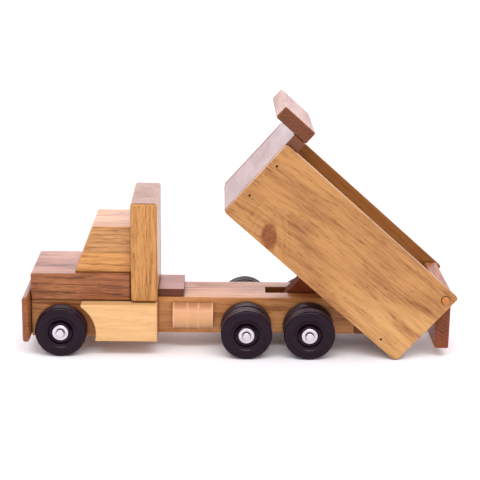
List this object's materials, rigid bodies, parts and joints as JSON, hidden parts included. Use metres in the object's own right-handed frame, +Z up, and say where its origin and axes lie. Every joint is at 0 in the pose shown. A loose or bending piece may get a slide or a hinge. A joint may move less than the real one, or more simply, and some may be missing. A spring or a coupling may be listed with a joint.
{
  "type": "toy dump truck",
  "caption": "Wooden toy dump truck with a hood, cab and high cab back on black wheels, a bed that tips on the rear axle and a tailgate that swings on pegs.",
  "frame": {"origin": "on the ground, under the middle of the box around the truck with its bed tipped", "axes": "-X towards the front of the truck, -Y towards its left side, +Z up"},
  "size_m": [0.4257, 0.1228, 0.2516],
  "materials": {
    "walnut": "oiled, satin",
    "oak": "oiled, satin",
    "cherry": "oiled, satin",
    "maple": "oiled, satin",
    "black_plastic": "satin moulded plastic",
    "chrome": "bright plated",
    "steel": "plain rod and nail steel"
  },
  "bodies": {
    "chassis": {"chassis_beam": "cherry", "rear_block": "walnut", "bumper": "walnut", "front_cheek_left": "walnut", "front_cheek_right": "walnut", "fender_left": "maple", "fender_right": "maple", "hood_block": "walnut", "cab_lower": "maple", "cab_upper": "oak", "cab_back": "oak", "bed_rest_block": "walnut", "fuel_drum_left": "maple", "fuel_drum_right": "maple", "axle_front": "steel", "axle_middle": "steel", "axle_rear": "steel", "axle_cap_front_left": "chrome", "axle_cap_front_right": "chrome", "axle_cap_middle_left": "chrome", "axle_cap_middle_right": "chrome", "axle_cap_rear_left": "chrome", "axle_cap_rear_right": "chrome"},
    "bed": {"bed_floor": "oak", "bed_side_left": "cherry", "bed_side_right": "cherry", "headboard": "walnut", "visor": "walnut", "hinge_block": "walnut", "brad_left_1": "steel", "brad_left_2": "steel", "brad_left_3": "steel", "brad_right_1": "steel", "brad_right_2": "steel", "brad_right_3": "steel"},
    "tailgate": {"tailgate": "walnut", "tailgate_peg_left": "maple", "tailgate_peg_right": "maple"},
    "front_wheel_left": {"front_wheel_left": "black_plastic"},
    "middle_wheel_left_inner": {"middle_wheel_left_inner": "black_plastic"},
    "middle_wheel_left_outer": {"middle_wheel_left_outer": "black_plastic"},
    "rear_wheel_left_inner": {"rear_wheel_left_inner": "black_plastic"},
    "rear_wheel_left_outer": {"rear_wheel_left_outer": "black_plastic"},
    "front_wheel_right": {"front_wheel_right": "black_plastic"},
    "middle_wheel_right_inner": {"middle_wheel_right_inner": "black_plastic"},
    "middle_wheel_right_outer": {"middle_wheel_right_outer": "black_plastic"},
    "rear_wheel_right_inner": {"rear_wheel_right_inner": "black_plastic"},
    "rear_wheel_right_outer": {"rear_wheel_right_outer": "black_plastic"}
  },
  "joints": [
    {"name": "bed_tip", "type": "hinge", "parent": "chassis", "child": "bed", "pos_m": [0.06905, 0, 0.02528], "axis": [0, -1, 0], "range_deg": [0, 41.5]},
    {"name": "tailgate_swing", "type": "hinge", "parent": "bed", "child": "tailgate", "pos_m": [0.2012, 0, 0.06297], "axis": [0, 1, 0], "continuous": true},
    {"name": "front_wheel_left_spin", "type": "hinge", "parent": "chassis", "child": "front_wheel_left", "pos_m": [-0.17605, 0, 0.02528], "axis": [0, 1, 0], "continuous": true},
    {"name": "middle_wheel_left_inner_spin", "type": "hinge", "parent": "chassis", "child": "middle_wheel_left_inner", "pos_m": [0.00685, 0, 0.02528], "axis": [0, 1, 0], "continuous": true},
    {"name": "middle_wheel_left_outer_spin", "type": "hinge", "parent": "chassis", "child": "middle_wheel_left_outer", "pos_m": [0.00685, 0, 0.02528], "axis": [0, 1, 0], "continuous": true},
    {"name": "rear_wheel_left_inner_spin", "type": "hinge", "parent": "chassis", "child": "rear_wheel_left_inner", "pos_m": [0.06905, 0, 0.02528], "axis": [0, 1, 0], "continuous": true},
    {"name": "rear_wheel_left_outer_spin", "type": "hinge", "parent": "chassis", "child": "rear_wheel_left_outer", "pos_m": [0.06905, 0, 0.02528], "axis": [0, 1, 0], "continuous": true},
    {"name": "front_wheel_right_spin", "type": "hinge", "parent": "chassis", "child": "front_wheel_right", "pos_m": [-0.17605, 0, 0.02528], "axis": [0, 1, 0], "continuous": true},
    {"name": "middle_wheel_right_inner_spin", "type": "hinge", "parent": "chassis", "child": "middle_wheel_right_inner", "pos_m": [0.00685, 0, 0.02528], "axis": [0, 1, 0], "continuous": true},
    {"name": "middle_wheel_right_outer_spin", "type": "hinge", "parent": "chassis", "child": "middle_wheel_right_outer", "pos_m": [0.00685, 0, 0.02528], "axis": [0, 1, 0], "continuous": true},
    {"name": "rear_wheel_right_inner_spin", "type": "hinge", "parent": "chassis", "child": "rear_wheel_right_inner", "pos_m": [0.06905, 0, 0.02528], "axis": [0, 1, 0], "continuous": true},
    {"name": "rear_wheel_right_outer_spin", "type": "hinge", "parent": "chassis", "child": "rear_wheel_right_outer", "pos_m": [0.06905, 0, 0.02528], "axis": [0, 1, 0], "continuous": true}
  ]
}
